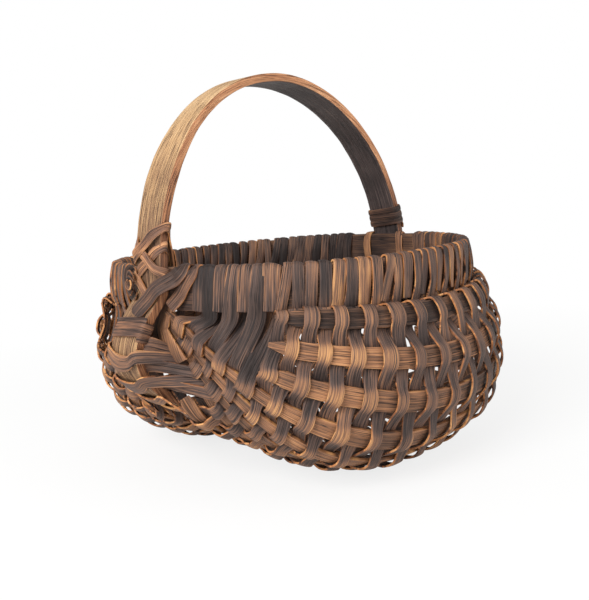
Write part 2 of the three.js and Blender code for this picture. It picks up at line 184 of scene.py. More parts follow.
def smooth(stations, step, closed=False):
    """Runs a splint smoothly through its stations, with a row of it every step."""
    rows = np.array([station_row(*station) for station in stations], float)
    if closed:
        rows = np.concatenate([rows[-2:], rows, rows[:3]])
    chords = np.maximum(np.linalg.norm(np.diff(rows[:, :3], axis=0), axis=1), TINY)
    knots = np.concatenate([[0], np.cumsum(np.sqrt(chords))])
    spans = np.diff(knots)[:, None]
    slopes = np.diff(rows, axis=0) / spans
    inner = (slopes[:-1] * spans[1:] + slopes[1:] * spans[:-1]) / (spans[1:] + spans[:-1])
    slopes = np.concatenate([slopes[:1], inner, slopes[-1:]])
    made = []
    links = range(2, len(rows) - 3) if closed else range(len(rows) - 1)
    for k in links:
        count = max(2, math.ceil(chords[k] / step))
        t = (np.arange(count) / count)[:, None]
        span = knots[k + 1] - knots[k]
        made.append(
            (2 * t**3 - 3 * t**2 + 1) * rows[k]
            + (t**3 - 2 * t**2 + t) * span * slopes[k]
            + (3 * t**2 - 2 * t**3) * rows[k + 1]
            + (t**3 - t**2) * span * slopes[k + 1]
        )
    made.append(rows[links[-1] + 1][None])
    return np.concatenate(made)


def drift(seed, distance, wave):
    """A slow wander between about -1 and 1, for what no hand shaves quite even. The odd
    factors keep neighbouring seeds from wandering alike."""
    return noise.noise(Vector((seed * 7.31, distance / wave, seed * 3.17))) * 2


# A splint's edges wander slowly, with small nicks on top, and its faces curl. Where the ends
# of a ring meet, that fades out. No two splints are cut from the same stretch of fibres.
WIDTH_WAVE = 37
NICK_WAVE = 9
NICK_SHARE = 0.5
CURL_WAVE = 45
JOINT_FADE = 20
FIBRE_STRETCH = 1000
FLOOR_GAP = 0.05
EASED_EDGE = 0.35
EASED_ANGLE = 50
SAME_SPOT = 1e-5
splint_count = 0


def lay_splint(
    name, stations, thickness, oak, columns=4, step=1.5, closed=False, uneven=0.05, curl=0.0
):
    """One splint: a flat strip laid along its stations, given its thickness and eased edges.
    Its finishes are those of its two faces and of its split edges."""
    global splint_count
    splint_count += 1
    seed = splint_count
    rows = smooth(stations, step, closed)
    points, halves, bulges, wear_and_shade = rows[:, :3], rows[:, 3:6], rows[:, 6:9], rows[:, 9]
    if closed:
        along = unit(np.gradient(np.concatenate([points[-2:-1], points, points[1:2]]), axis=0)[1:-1])
    else:
        along = unit(np.gradient(points, axis=0))
    halves = halves - along * np.sum(halves * along, axis=1, keepdims=True)
    outs = unit(np.cross(halves, along))
    run = run_of(points)
    bm = bmesh.new()
    bmesh.ops.create_grid(bm, x_segments=columns, y_segments=len(rows) - 1, size=1)
    fibres = bm.loops.layers.uv.new("fibres")
    worn = bm.loops.layers.uv.new("worn")
    spots = {}
    for vert in bm.verts:
        spots[vert] = (vert.co.x, round((vert.co.y + 1) / 2 * (len(rows) - 1)))
    for face in bm.faces:
        for loop in face.loops:
            side, row = spots[loop.vert]
            loop[fibres].uv = (side * np.linalg.norm(halves[row]), run[row] + seed * FIBRE_STRETCH)
            loop[worn].uv = (side, wear_and_shade[row])
    fade = 1.0
    for vert, (side, row) in spots.items():
        distance = run[row]
        if closed:
            fade = min(1.0, distance / JOINT_FADE, (run[-1] - distance) / JOINT_FADE)
        nick = NICK_SHARE * drift(seed + 0.5 * side, distance, NICK_WAVE)
        edge = 1 + fade * uneven * (drift(seed, distance, WIDTH_WAVE) + nick)
        lean = fade * curl * drift(seed + 0.3, distance, CURL_WAVE)
        spot = points[row] + halves[row] * side * edge
        spot = spot + outs[row] * lean * side + bulges[row] * (0.5 - side * side)
        vert.co = Vector(spot) * MM + Vector((0, 0, EAR_HEIGHT * MM))
        vert.co.z = max(vert.co.z, (thickness / 2 + FLOOR_GAP) * MM)
    if closed:
        bmesh.ops.remove_doubles(bm, verts=bm.verts, dist=SAME_SPOT)
    mesh = bpy.data.meshes.new(name)
    bm.to_mesh(mesh)
    bm.free()
    for polygon in mesh.polygons:
        polygon.use_smooth = True
    for finish in oak:
        mesh.materials.append(finish)
    piece = bpy.data.objects.new(name, mesh)
    bpy.context.scene.collection.objects.link(piece)
    wall = piece.modifiers.new("thickness", "SOLIDIFY")
    wall.thickness = thickness * MM
    wall.offset = 0
    wall.material_offset = 1
    wall.material_offset_rim = 2
    ease = piece.modifiers.new("eased_edges", "BEVEL")
    ease.width = min(EASED_EDGE, thickness / 4) * MM
    ease.segments = 2
    ease.limit_method = "ANGLE"
    ease.angle_limit = math.radians(EASED_ANGLE)
    return piece


def finish_piece(piece, node):
    """Hides the part that the piece stands for, and puts the piece on the body it rides on."""
    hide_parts(node)
    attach(piece, "root")


def colour(code):
    """A colour written as sRGB, as the light that it stands for."""
    channels = [(code >> shift & 255) / 255 for shift in (16, 8, 0)]
    return [c / 12.92 if c <= 0.04045 else ((c + 0.055) / 1.055) ** 2.4 for c in channels] + [1.0]


def add(tree, kind, inputs=None, **settings):
    """A node with its settings, its values and the sockets linked into it."""
    node = tree.nodes.new(kind)
    for key, value in settings.items():
        setattr(node, key, value)
    for key, value in (inputs or {}).items():
        if isinstance(value, bpy.types.NodeSocket):
            tree.links.new(value, node.inputs[key])
        else:
            node.inputs[key].default_value = value
    return node


# The marks in riven oak, as width and length along the grain. The first three are counted in
# rows of pores. Real pores are about 0.25 mm wide, and a row is drawn 0.6 or 0.7 mm wide, so
# that it shows. The tone along a splint is in millimetres, and so are the patches of dirt,
# 26 to the metre.
STREAK = (1, 75)
THREAD = (0.32, 24)
CLEFT = (1.9, 110)
LONG_TONE = (40, 55)
PATCH_SIZE = 1000 / 26

# How much each mark lightens the oak or darkens it, how far it stands up or lies deep, where
# the four tones lie, how near its edges a splint is rubbed, and how much glossier the threads
# are that stand up
STREAK_WEIGHT = 1.45
THREAD_WEIGHT = 0.95
PATCH_WEIGHT = 0.7
CLEFT_WEIGHT = -0.45
CLEFT_DEPTH = -0.8
CLEFT_WIDTH = 0.022
RELIEF = 0.25
TONE_STOPS = (0.08, 0.38, 0.66, 0.95)
EDGE_RUBBED_FROM, EDGE_RUBBED_TO = 0.74, 0.98
LOW_THREAD, HIGH_THREAD = 0.3, 0.7
GLOSSIER, DULLER = 0.12, 0.15
OAK_SPECULAR = 0.35


def riven_oak(
    name, deep, dull, warm, bright,
    tone=0.0, fibre=0.7, roughness=0.58, edge=0.3, polish_and_shade=0.24, patchy=1.0, hoop_edge=False,
):
    """White oak riven along the grain and darkened by age: long fibres show as thin
    streaks from near black to amber, fine splits run between them, and handling has
    polished what stands out and the edges. What lies deep is darker, partly from dirt and
    partly as painted shade. On the edge of the handle hoop the fibres follow the ring.
    fibre is the width of a row of pores."""
    material = bpy.data.materials.new(name)
    material.use_nodes = True
    tree = material.node_tree
    shader = tree.nodes["Principled BSDF"]
    shader.inputs["Specular IOR Level"].default_value = OAK_SPECULAR
    lay = add(tree, "ShaderNodeUVMap", uv_map="fibres").outputs[0]
    worn = add(tree, "ShaderNodeUVMap", uv_map="worn").outputs[0]
    place = add(tree, "ShaderNodeTexCoord").outputs["Object"]
    side = add(tree, "ShaderNodeSeparateXYZ", {0: worn})
    if hoop_edge:
        middle, flat = (0, 0, EAR_HEIGHT * MM), (1 / MM, 0, 1 / MM)
        centred = add(tree, "ShaderNodeVectorMath", {0: place, 1: middle}, operation="SUBTRACT")
        centred = add(tree, "ShaderNodeVectorMath", {0: centred.outputs[0], 1: flat}, operation="MULTIPLY")
        radius = add(tree, "ShaderNodeVectorMath", {0: centred.outputs[0]}, operation="LENGTH")
        along = add(tree, "ShaderNodeSeparateXYZ", {0: lay})
        ring = {0: radius.outputs["Value"], 1: along.outputs[1]}
        lay = add(tree, "ShaderNodeCombineXYZ", ring).outputs[0]

    def grain(mark, size, detail, coarseness):
        """Noise drawn out along the fibres, as wide and as long as a mark of that size."""
        scale = (1 / (mark[0] * size), 1 / (mark[1] * size), 1)
        stretched = add(tree, "ShaderNodeMapping", {"Vector": lay, "Scale": scale})
        settings = {"Scale": 1.0, "Detail": detail, "Roughness": coarseness}
        return add(tree, "ShaderNodeTexNoise", {"Vector": stretched.outputs[0], **settings}).outputs[0]

    streaks = grain(STREAK, fibre, 4.0, 0.65)
    threads = grain(THREAD, fibre, 3.0, 0.6)
    long_tone = grain(LONG_TONE, 1, 2.0, 0.5)
    settings = {"Scale": 1 / (PATCH_SIZE * MM), "Detail": 3.0, "Roughness": 0.55}
    patches = add(tree, "ShaderNodeTexNoise", {"Vector": place, **settings}).outputs[0]

    # A cleft runs where its noise crosses the middle value
    cleft = grain(CLEFT, fibre, 2.0, 0.5)
    cleft = add(tree, "ShaderNodeMath", {0: cleft, 1: 0.5}, operation="SUBTRACT")
    cleft = add(tree, "ShaderNodeMath", {0: cleft.outputs[0]}, operation="ABSOLUTE")
    settings = {"From Max": CLEFT_WIDTH, "To Min": 1.0, "To Max": 0.0}
    cleft = add(tree, "ShaderNodeMapRange", {"Value": cleft.outputs[0], **settings}).outputs[0]

    # The edges are rubbed where threads stand up
    rub = add(tree, "ShaderNodeMath", {0: side.outputs[0]}, operation="ABSOLUTE")
    settings = {"From Min": EDGE_RUBBED_FROM, "From Max": EDGE_RUBBED_TO}
    rub = add(tree, "ShaderNodeMapRange", {"Value": rub.outputs[0], **settings}).outputs[0]
    rub = add(tree, "ShaderNodeMath", {0: rub, 1: threads}, operation="MULTIPLY").outputs[0]

    tones = (
        (streaks, STREAK_WEIGHT), (threads, THREAD_WEIGHT), (long_tone, patchy),
        (patches, PATCH_WEIGHT * patchy), (side.outputs[1], polish_and_shade),
    )
    share = 0.5 + tone - sum(weight / 2 for _, weight in tones)
    for source, weight in tones + ((cleft, CLEFT_WEIGHT), (rub, edge)):
        values = {0: source, 1: weight, 2: share}
        share = add(tree, "ShaderNodeMath", values, operation="MULTIPLY_ADD").outputs[0]
    ramp = add(tree, "ShaderNodeValToRGB", {"Fac": share})
    stops = ramp.color_ramp.elements
    stops[0].position, stops[1].position = TONE_STOPS[0], TONE_STOPS[-1]
    for position in TONE_STOPS[1:-1]:
        stops.new(position)
    for stop, code in zip(stops, (deep, dull, warm, bright)):
        stop.color = colour(code)
    tree.links.new(ramp.outputs[0], shader.inputs["Base Color"])
    settings = {"From Min": LOW_THREAD, "From Max": HIGH_THREAD}
    settings |= {"To Min": roughness - GLOSSIER, "To Max": roughness + DULLER}
    gloss = add(tree, "ShaderNodeMapRange", {"Value": threads, **settings})
    tree.links.new(gloss.outputs[0], shader.inputs["Roughness"])
    height = add(tree, "ShaderNodeMath", {0: streaks, 1: threads}, operation="ADD")
    values = {0: cleft, 1: CLEFT_DEPTH, 2: height.outputs[0]}
    height = add(tree, "ShaderNodeMath", values, operation="MULTIPLY_ADD")
    settings = {"Strength": 1.0, "Distance": RELIEF * MM}
    bump = add(tree, "ShaderNodeBump", {"Height": height.outputs[0], **settings})
    tree.links.new(bump.outputs[0], shader.inputs["Normal"])
    return material


# The outside was shaved with a drawknife and polished by hands: smooth, pale and finely
# streaked. The underside was left unshaved, and its dark grey colours are painted shade. The edges show the
# rings' layers.
handle_oak = [
    riven_oak(
        "handle_oak_shaved", 0x2E1F17, 0x7B5A43, 0xC49C6E, 0xEECB9C,
        tone=0.08, fibre=0.6, roughness=0.64, edge=0.1, polish_and_shade=0.8, patchy=0.35,
    ),
    riven_oak(
        "handle_oak_underside_painted_shade", 0x221D1D, 0x423735, 0x5B4D4A, 0x806D63, roughness=0.5, patchy=0.6
    ),
    riven_oak(
        "handle_oak_edge", 0x3A2218, 0x8A5A3E, 0xC98B60, 0xEBB88B,
        tone=0.08, fibre=0.6, edge=0, polish_and_shade=0.7, patchy=0.3, hoop_edge=True,
    ),
]

# Hands have polished the sides of the handle most, its top a little less, and dirt has stayed
# at the ears. The spine is worn less.
HANDLE_POLISHED = 1.3
TOP_DULLED = 0.6
EAR_DULLED = 0.1
SPINE_POLISHED = 0.3
ear_angle = math.asin(BAND_WIDTH / 2 / HANDLE_RISE)
across_band = np.array([0, BAND_WIDTH / 2, 0])
hoop = []
for angle in np.linspace(ear_angle, math.pi - ear_angle, HANDLE_STEPS):
    rise = math.sin(angle)
    point = np.array([EAR_HALF_SPAN * math.cos(angle), HANDLE_LEAN * rise * rise, HANDLE_RISE * rise])
    hoop.append((point, across_band, HANDLE_POLISHED * rise - TOP_DULLED * rise**3 - EAR_DULLED))
for distance in np.linspace(0, spine.length, SPINE_STEPS):
    hoop.append((spine.at(distance), across_band, SPINE_POLISHED))
piece = lay_splint(
    "handle_hoop_band", hoop, HANDLE_THICKNESS, handle_oak, columns=8, closed=True, uneven=0.025, curl=0.3
)
finish_piece(piece, "handle_hoop")

# Rim hoop. A second band of oak, set on edge inside the first where they cross at the ears.
# The weavers wind round it so closely that it shows only beside the ears.
RIM_THICKNESS = 4
RIM_HALF_SPAN = 112.4
RIM_SAG = 2
RIM_START = 32
RIM_STEPS = 90


class Rim(Stave):
    """The front half or the back half of the rim hoop."""

    is_rim = True
    half_span, start, thickness = RIM_HALF_SPAN, RIM_START, RIM_THICKNESS

    def hang(self, middle, out, hump):
        """Reach and height along the line, nearly level."""
        return np.stack([middle[0] * out, -RIM_SAG * out], 1)

    def across(self, distance):
        """The way over its width, which stands upright."""
        return np.array([0.0, 0.0, self.side])


# Shaved like the handle, but hidden from hands, so it is dull and nearly black
rim_oak = [riven_oak("rim_oak_shaved", 0x1B1310, 0x41302A, 0x6A4C3A, 0x97704F)] * 3
rims = [Rim(0), Rim(LAST)]
out_and_back = (np.linspace(0, 1, RIM_STEPS), np.linspace(1, 0, RIM_STEPS)[1:-1])
ring = []
for half_rim, shares in zip(rims, out_and_back):
    for share in shares:
        ring.append((half_rim.at(share * half_rim.length), np.array([0, 0, -BAND_WIDTH / 2])))
piece = lay_splint("rim_hoop_band", ring, RIM_THICKNESS, rim_oak, columns=6, closed=True, uneven=0.02)
finish_piece(piece, "rim_hoop")

# Ribs. Eight flat splints a lobe, shaved to a point at both ends. They leave the ear as a
# tight bundle and fan out over the lobe. The three next to the rim and the two next to the
# spine are let in after the first rows.
ROWS = 42
RIB_WIDTH = 12.5
RIB_THICKNESS = 2
RIB_STEPS = 60
RIB_BULGE = 0.2
FIRST_EAR_RIB = 4
LAST_EAR_RIB = 6
UPPER_RIB_ROW = 7
LOWER_RIB_ROW = 5

# Where a rib ends beside the ear, and how its first row and the bundle lie there
RIB_END_SPAN = 115.5
RIB_END_REACH = 8
RIB_END_DROP = 14
RIB_END_STEP_DOWN = 5
RIB_START = 11.5
LOWER_RIB_LEAD = 0.5
EAR_CLOSENESS = 0.05
BUNCH = 0.45
BUNCH_PLACE = 0.3
BESIDE = 0.25

# How wide a rib may be: it tapers to its tips, leaves room between its neighbours, laps over
# them near the ear, and the low ribs' tips are tucked under the row before
RIB_TIP_WIDTH = 2
RIB_TAPER = 0.55
RIB_SPACING_SHARE = 0.42
RIB_CLOSENESS = 2.4
RIB_OVERLAP = 4.0
RIB_OVERLAP_REACH = 35
RIB_TILT = 0.25
RIB_TUCK = 11
RIB_TUCK_DEPTH = 2.6
RIB_TUCKED_TIP = 6

# Hands and tables have rubbed a stretch of both lobes lighter, round one row
RUBBED_ROW = 10
RUBBED_ROWS = 8.5
RUBBING = 1.1
# Next to the rim and underneath, less of the rubbing is kept, which paints shade there
RUBBING_KEPT_IN_RIM_SHADE = 0.3
RUBBING_KEPT_IN_SHADE_UNDERNEATH = 0.55


class Rib(Stave):
    """A rib, or a line close beside one, which tells which way lies across the rib."""

    is_rib = True
    half_span, thickness = RIB_END_SPAN, RIB_THICKNESS

    def __init__(self, number):
        super().__init__(number)
        if self.from_rim < FIRST_EAR_RIB:
            self.first_row = UPPER_RIB_ROW
        if self.from_rim > LAST_EAR_RIB:
            self.first_row = LOWER_RIB_ROW
        self.start = RIM_START + (RIB_START - RIM_START) * min(self.from_rim / FIRST_EAR_RIB, 1)
        self.start -= max(self.from_rim - LAST_EAR_RIB, 0) * LOWER_RIB_LEAD

    def hang(self, middle, out, hump):
        """Reach and height along the line, which leaves the ear with the bundle."""
        drop = RIB_END_DROP + (self.from_rim - FIRST_EAR_RIB) * RIB_END_STEP_DOWN
        end = np.array([self.side * RIB_END_REACH, -drop])
        bundle = spline(SECTION, BUNCH_PLACE / 2 if self.side < 0 else 1 - BUNCH_PLACE / 2)
        gather = BUNCH * (1 - out) ** 2
        aim = middle + gather[:, None] * (bundle - middle)
        return end + (aim - end) * out[:, None]

    def distance(self, place):
        """As on any stave, but the rows are packed closer towards the ears."""
        closer = EAR_CLOSENESS * np.sin(2 * math.pi * np.clip(place, 0, 1)) / (2 * math.pi)
        return super().distance(place - closer)

    def across(self, distance):
        """The way over its width, from the line before it to the line after it."""
        place = np.clip((distance - self.start) / (self.length - 2 * self.start), 0, 1)
        before, after = self.beside
        return after.at(after.distance(place)) - before.at(before.distance(place))


# Riven and left so: matt faces with torn fibres, and edges that show darker, broken grain
rib_face = riven_oak("rib_oak_riven", 0x2A1D18, 0x5F4536, 0x9A6B4B, 0xCC9566)
rib_edge = riven_oak("rib_oak_split_edge", 0x20140E, 0x553725, 0x8A5C39, 0xB98653)
rib_oak = [rib_face, rib_face, rib_edge]
ribs = [Rib(number) for number in range(1, LAST) if number != SPINE]
for stave in ribs:
    stave.beside = (Rib(stave.number - BESIDE), Rib(stave.number + BESIDE))
staves = sorted([spine, *rims, *ribs], key=lambda stave: stave.number)


def rubbed(row):
    """How far hands and tables have rubbed the oak lighter there, from 0 to 1."""
    return math.exp(-(((row - RUBBED_ROW) / RUBBED_ROWS) ** 2))


def rubbing_out_of_shade(stave):
    """How much of that shows on a stave: little next to the rim and underneath, which paints shade there.
    """
    return RUBBING_KEPT_IN_RIM_SHADE if stave.from_rim == 1 else RUBBING_KEPT_IN_SHADE_UNDERNEATH if stave.from_rim >= LAST_EAR_RIB else 1


for stave in ribs:
    begin = stave.distance(stave.first_row / ROWS) if stave.first_row else 0
    tuck = RIB_TUCK if stave.from_rim > LAST_EAR_RIB else 0
    begin -= tuck
    end = stave.length - begin
    stave.begin, stave.finish = begin, end
    beside = [staves[stave.number + step] for step in (-1, 1)]
    tip = RIB_TUCKED_TIP if tuck else RIB_TIP_WIDTH
    rib = []
    for distance in np.linspace(begin, end, RIB_STEPS):
        point, _, across, out = stave.frame(distance)
        place = (distance - stave.start) / (stave.length - 2 * stave.start)
        pitch = min(np.linalg.norm(other.at(other.distance(place)) - point) for other in beside)
        from_tip = min(distance - begin, end - distance)
        near_ear = max(0, 1 - from_tip / RIB_OVERLAP_REACH) if not stave.first_row else 0
        room = RIB_SPACING_SHARE * pitch + RIB_CLOSENESS + RIB_OVERLAP * near_ear
        under = max(0, 1 - from_tip / tuck) if tuck else 0
        width = min(RIB_WIDTH, tip + RIB_TAPER * from_tip, room + RIB_OVERLAP * under)
        half = unit(across + out * RIB_TILT * near_ear) * max(RIB_TIP_WIDTH, width) / 2
        # The rib next to the rim is also painted darker all along, as shade under the rim
        wear_and_shade = RUBBING * rubbed(place * ROWS) * rubbing_out_of_shade(stave) - (stave.from_rim == 1)
        rib.append((point - out * RIB_TUCK_DEPTH * under, half, wear_and_shade, out * RIB_BULGE))
    lobe = "front" if stave.side < 0 else "back"
    stave.widths = [np.linalg.norm(half) * 2 for _, half, *_ in rib]
    node = f"rib_{lobe}_{stave.from_rim}"
    piece = lay_splint(node + "_splint", rib, RIB_THICKNESS, rib_oak)
    finish_piece(piece, node)

# Blades. At each ear a short broad splint is tucked in between the spine and the bundle of
# ribs, riven from the same oak as the ribs and held by the first rows.
BLADE_TOP = 8
BLADE_BOTTOM = 46
BLADE_HALF = 5
BLADE_DEPTH = 5
BLADE_UNDER_RIB = 2
BLADE_UNDER_SPINE = 3
BLADE_STEPS = 10
BLADE_TIP = 0.6


def place_at_drop(line, drop):
    """The place on a stave's line that lies so far below the ear line, near its start."""
    near = line[: FINE // 5]
    return np.array([np.interp(drop, -near[:, 2], axis) for axis in near.T])


for ear in (-1, 1):
    for lobe, beside in (("front", staves[LAST_EAR_RIB]), ("back", staves[LAST - LAST_EAR_RIB])):
        blade = []
        for drop in np.linspace(BLADE_TOP, BLADE_BOTTOM, BLADE_STEPS):
            spine_edge = place_at_drop(spine.line, drop) + across_band * beside.side
            rib_place = place_at_drop(beside.line, drop)
            middle = (spine_edge + rib_place) / 2 - np.array([0, beside.side * BLADE_UNDER_SPINE, 0])
            room = abs(rib_place[1] - spine_edge[1]) / 2 + BLADE_UNDER_RIB
            half = np.array([0, max(BLADE_HALF, room) + BLADE_UNDER_SPINE, 0])
            place = np.array([-ear * (middle[0] + BLADE_DEPTH), middle[1], -drop])
            blade.append((place, half * (BLADE_TIP if drop == BLADE_TOP else 1), 0.0))
        name = f"rib_{lobe}_6_blade_{'left' if ear < 0 else 'right'}"
        piece = lay_splint(name, blade, RIB_THICKNESS / 2, rib_oak)
        finish_piece(piece, f"rib_{lobe}_6")

# Weavers. Long thin splints worked over one rib and under the next, from rim to rim.
# At the rim each takes two turns round the band, which carry it on to its next row.
WEAVER_THICKNESS = 1.15
WEAVER_WIDTH = 8.2
ROWS_PER_WEAVER = 2
CLEARANCE = 0.35
EDGE_GAP = 1.2

# How much of its row a weaver fills: on a rib outside and inside, round the rim, at the knee
# beside it, and in the rows that cross only a few ribs. The later rows are narrower.
WEAVER_FILL = 1.05
INNER_FILL = 1.2
RIM_FILL = 1.0
KNEE_FILL = 1.4
FREE_FILL = 1.22
LAST_FREE_FILL = 1.45
WIDENING = 0.15
BROADER_ROWS = 17
LATER_NARROWING = 0.11
EAR_ROWS = 4
EAR_NARROWING = 0.3

# Its arch over a stave, to the stave's middle: how far across as a share of the half width,
# and there how far risen, how far sagged, how wide and how worn. The crests are polished
# lighter, and the ends that dip between the staves are darkened as painted shade.
HALF_ARCH = ((-1, -0.15, -0.6, 0.92, 0.1), (-0.55, 0.72, 0.3, 0.98, 0.8), (0, 1, 0.6, 1.02, 1))
ARCH = HALF_ARCH + tuple((-share, *rest) for share, *rest in HALF_ARCH[1::-1])
CREST = 0.3
CREST_SHARE = 0.2
SPINE_CREST = 0.5
INNER_CREST = 0.2
CREST_BULGE = 0.35
RIB_SAG = 0.9
SPINE_SAG = 5
SPINE_SAG_ROWS = 9
SPINE_LEAST_SAG = 0.1
# Where a weaver passes inside a stave its wear is cut down, which paints shade on it
INNER_WEAR_AND_SHADE = 0.3
CREST_WEAR = 0.1

# Its turns round the rim: how far out and up it lies from the band's middle, and its way over
# the top, as a share outwards and millimetres down. Its own stiffness makes it belly out.
RIM_FACE = (RIM_THICKNESS + WEAVER_THICKNESS) / 2 + CLEARANCE
RIM_EDGE = (BAND_WIDTH + WEAVER_THICKNESS) / 2 + CLEARANCE
OVER_TOP = ((0.95, -3.6), (0.5, -0.25), (-0.5, -0.25), (-0.95, -3.6))
KNEE_DROP = 2.8
RIM_BELLY = 1.3
BELLY_PLACE = 0.3
TURN_UNDER = 1.5
END_PLACE = 0.9
SHINGLE = 0.16
RIM_BULGE = 0.7
RIM_LEAN = 1.8
RIM_LIFT = 0.35
RIM_POLISHED = 0.85
RIM_DULLED = 0.4
RUBBED_LATER = 3
UP = np.array([0.0, 0.0, 1.0])

# What no hand weaves quite even, from row to row. A row counts as ten millimetres, and each
# kind has a seed of its own.
ROW_LENGTH = 10.0
ROW_WAVE = 13
PLACE_WANDER, PLACE_WAVE, PLACE_SEED = 0.5, 17, 0.7
ROW_WIDTH_WANDER, ROW_WIDTH_WAVE, ROW_WIDTH_SEED, ROW_WIDTH_STEP = 0.14, 23, 11, 3.1
RIM_WEAR_WANDER, RIM_WEAR_SEED = 0.75, 1.6
TWIST, TWIST_SEED = 0.12, 5.5
RIM_LIFT_SEED = 2.2
RIM_LEAN_SEED = 4.4

# Riven thin: faces streaked from near black to amber and rubbed on their crests, and pale
# edges where the splints were pulled apart
weaver_face = riven_oak("weaver_oak_riven", 0x271E1C, 0x59453D, 0x90664B, 0xCB9662, polish_and_shade=0.32)
weaver_edge = riven_oak("weaver_oak_split_edge", 0x2E1D15, 0x805237, 0xB87A4A, 0xE0A870)
weaver_oak = [weaver_face, weaver_face, weaver_edge]


def sway(seed, row, wave=ROW_WAVE):
    """A wander from row to row."""
    return drift(seed, row * ROW_LENGTH, wave)


def stave_width(stave, distance):
    """How wide the stave is at a distance."""
    if not stave.is_rib:
        return BAND_WIDTH
    spots = np.linspace(stave.begin, stave.finish, RIB_STEPS)
    return float(np.interp(distance, spots, stave.widths))


def rows_from_ear(row):
    """How many rows lie between this one and the nearer ear."""
    return min(row, ROWS - 1 - row)


def row_distance(stave, row):
    """Where a row crosses the stave, a little off its even place."""
    wander = PLACE_WANDER * sway(stave.number + PLACE_SEED, row, PLACE_WAVE)
    return stave.distance((row + 0.5) / ROWS) + wander


def row_width(stave, row, fill=WEAVER_FILL):
    """How wide a weaver can lie in the row there. They get narrower in the last rows."""
    place = (row + 0.5) / ROWS
    pitch = stave.distance(place + 0.5 / ROWS) - stave.distance(place - 0.5 / ROWS)
    from_ear = rows_from_ear(row)
    near_ear = max(0, EAR_ROWS - from_ear) / EAR_ROWS
    wander = sway(stave.number * ROW_WIDTH_STEP + ROW_WIDTH_SEED, row, ROW_WIDTH_WAVE)
    uneven = 1 + ROW_WIDTH_WANDER * wander - LATER_NARROWING * (row > BROADER_ROWS)
    if from_ear < UPPER_RIB_ROW and stave.from_rim in (0, FIRST_EAR_RIB, LAST_EAR_RIB, SPINE):
        last_free = UPPER_RIB_ROW if stave.from_rim <= FIRST_EAR_RIB else LOWER_RIB_ROW
        free = FREE_FILL if stave.from_rim else 1
        fill = fill * (LAST_FREE_FILL if from_ear == last_free - 1 else free)
    widest = WEAVER_WIDTH * max(1, fill - WIDENING)
    return min(widest, fill * pitch) * uneven - EAR_NARROWING * near_ear


def side_of(stave, row):
    """A row passes outside a stave (1) and inside the next (-1)."""
    return 1 if (stave.number + row) % 2 == 0 else -1


def crossing(stave, row, forward):
    """The stations of a weaver over one stave. It arches where it passes outside, hangs a
    little slack, and turns its edge up where it slips under the next."""
    distance = row_distance(stave, row)
    point, along, across, out = stave.frame(distance)
    side = side_of(stave, row)
    lift = (stave.thickness + WEAVER_THICKNESS) / 2 + CLEARANCE
    reach = (1 if forward else -1) * (stave_width(stave, distance) / 2 + EDGE_GAP)
    crest = INNER_CREST
    if side > 0:
        crest = CREST + CREST_SHARE * abs(reach) * (SPINE_CREST if stave.is_spine else 1)
    away = 1 if distance < stave.length / 2 else -1
    slack = away * RIB_SAG
    if stave.is_spine:
        slack = away * SPINE_SAG * max(SPINE_LEAST_SAG, 1 - rows_from_ear(row) / SPINE_SAG_ROWS)
    twist = TWIST * sway(stave.number + TWIST_SEED, row)
    half = unit(along + out * twist) * row_width(stave, row) / 2
    # Crests are polished lighter, and the dips and inside passes are darker as painted shade
    polish_and_shade = CREST_WEAR + RUBBING * rubbed(row) * rubbing_out_of_shade(stave)
    return [
        (
            point + across * reach * share + out * side * (lift + crest * rise) + along * slack * sag,
            half * (squeeze if side > 0 else squeeze * INNER_FILL),
            (wear_and_shade if side > 0 else INNER_WEAR_AND_SHADE * wear_and_shade) * polish_and_shade,
            out * side * CREST_BULGE * wear_and_shade,
        )
        for share, rise, sag, squeeze, wear_and_shade in ARCH
    ]


def at_rim(rim, row, outwards, upwards, facing=None, fill=RIM_FILL):
    """A station beside the rim: how far out from its middle line, and how far up. Each turn
    leans a little and lies over the one before it, like a shingle. Hands have rubbed a
    stretch of the rim lighter than the rest."""
    lean = RIM_LEAN * (1 + sway(rim.number + RIM_LEAN_SEED, row)) * upwards / RIM_EDGE
    point, along, _, out = rim.frame(row_distance(rim, row) + lean)
    facing = out * np.sign(outwards) if facing is None else facing
    half = unit(along - SHINGLE * facing) * row_width(rim, row, fill) / 2
    lift = RIM_LIFT + RIM_LIFT * sway(rim.number + RIM_LIFT_SEED, row)
    wear_and_shade = RIM_POLISHED * rubbed(row - RUBBED_LATER) - RIM_DULLED
    wear_and_shade += RIM_WEAR_WANDER * sway(rim.number + RIM_WEAR_SEED, row)
    place = point + out * (outwards + lift * np.sign(outwards)) + UP * upwards
    return place, half, wear_and_shade, facing * RIM_BULGE


def over_top(rim, row, side):
    """Over the rim's top, from the face on one side to the other."""
    return [at_rim(rim, row, side * share * RIM_FACE, RIM_EDGE + down, UP) for share, down in OVER_TOP]


def knee(rim, row, side):
    """Where a weaver leaves the rim's face for the first rib."""
    return at_rim(rim, row, side * RIM_FACE, -RIM_EDGE - KNEE_DROP, fill=KNEE_FILL)


def rim_turn(rim, row, side):
    """Two turns round the rim, from one row to the next."""
    return [
        knee(rim, row, side),
        at_rim(rim, row, side * (RIM_FACE + RIM_BELLY), -RIM_EDGE * BELLY_PLACE),
        *over_top(rim, row, side),
        at_rim(rim, row, -side * (RIM_FACE + RIM_BELLY), 0),
        at_rim(rim, row, -side * RIM_FACE, -RIM_EDGE + TURN_UNDER),
        at_rim(rim, row + 1, side * RIM_FACE, -RIM_EDGE + TURN_UNDER),
        at_rim(rim, row + 1, side * (RIM_FACE + RIM_BELLY), 0),
        *over_top(rim, row + 1, side),
        at_rim(rim, row + 1, -side * (RIM_FACE + RIM_BELLY), -RIM_EDGE * BELLY_PLACE),
        knee(rim, row + 1, -side),
    ]


